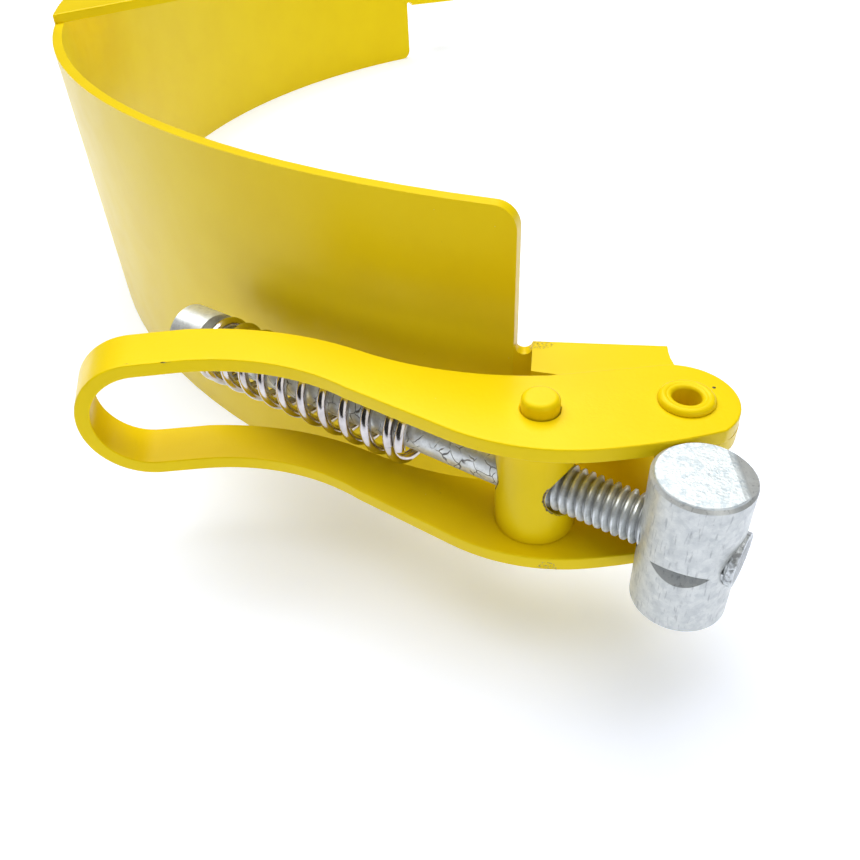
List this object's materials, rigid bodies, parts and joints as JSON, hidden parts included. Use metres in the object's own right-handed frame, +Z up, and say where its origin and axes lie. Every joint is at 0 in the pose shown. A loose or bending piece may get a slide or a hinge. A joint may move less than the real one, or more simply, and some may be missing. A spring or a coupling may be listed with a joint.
{
  "type": "lever latch band clamp",
  "caption": "Open steel band with an over-centre lever latch at one end: a folded U lever carries a trunnion and a sprung bolt ending in a cross bar; a folded bracket ends the other side.",
  "frame": {"origin": "centre of the whole part's footprint, on the band's lower edge", "axes": "+Z up along the band's axis, +X out of the band's open side, +Y from the latch end to the far bracket"},
  "size_m": [0.141, 0.4262, 0.0724],
  "materials": {
    "yellow_coat": "semi-gloss yellow powder coat",
    "zinc_plate": "bright zinc plating",
    "spring_steel": "bright drawn wire"
  },
  "bodies": {
    "band": {"band": "yellow_coat", "rim_lug": "yellow_coat", "pivot_rivet": "yellow_coat"},
    "lever": {"lever": "yellow_coat"},
    "trunnion": {"trunnion": "yellow_coat"},
    "bolt": {"bolt": "zinc_plate", "cross_bar": "zinc_plate", "spring": "spring_steel"}
  },
  "joints": [
    {"name": "lever_swing", "type": "hinge", "parent": "band", "child": "lever", "pos_m": [0.06252, -0.18914, 0.035], "axis": [0, 0, 1], "range_deg": [0, 105]},
    {"name": "trunnion_turn", "type": "hinge", "parent": "lever", "child": "trunnion", "pos_m": [0.04067, -0.1882, 0.035], "axis": [0, 0, 1], "range_deg": [-105, 0]},
    {"name": "bolt_slide", "type": "slide", "parent": "trunnion", "child": "bolt", "axis": [0.7705, -0.6374, 0], "range_m": [0, 0.015]}
  ],
  "couplings": [
    {"joint": "trunnion_turn", "follows": "lever_swing", "ratio": -1}
  ]
}
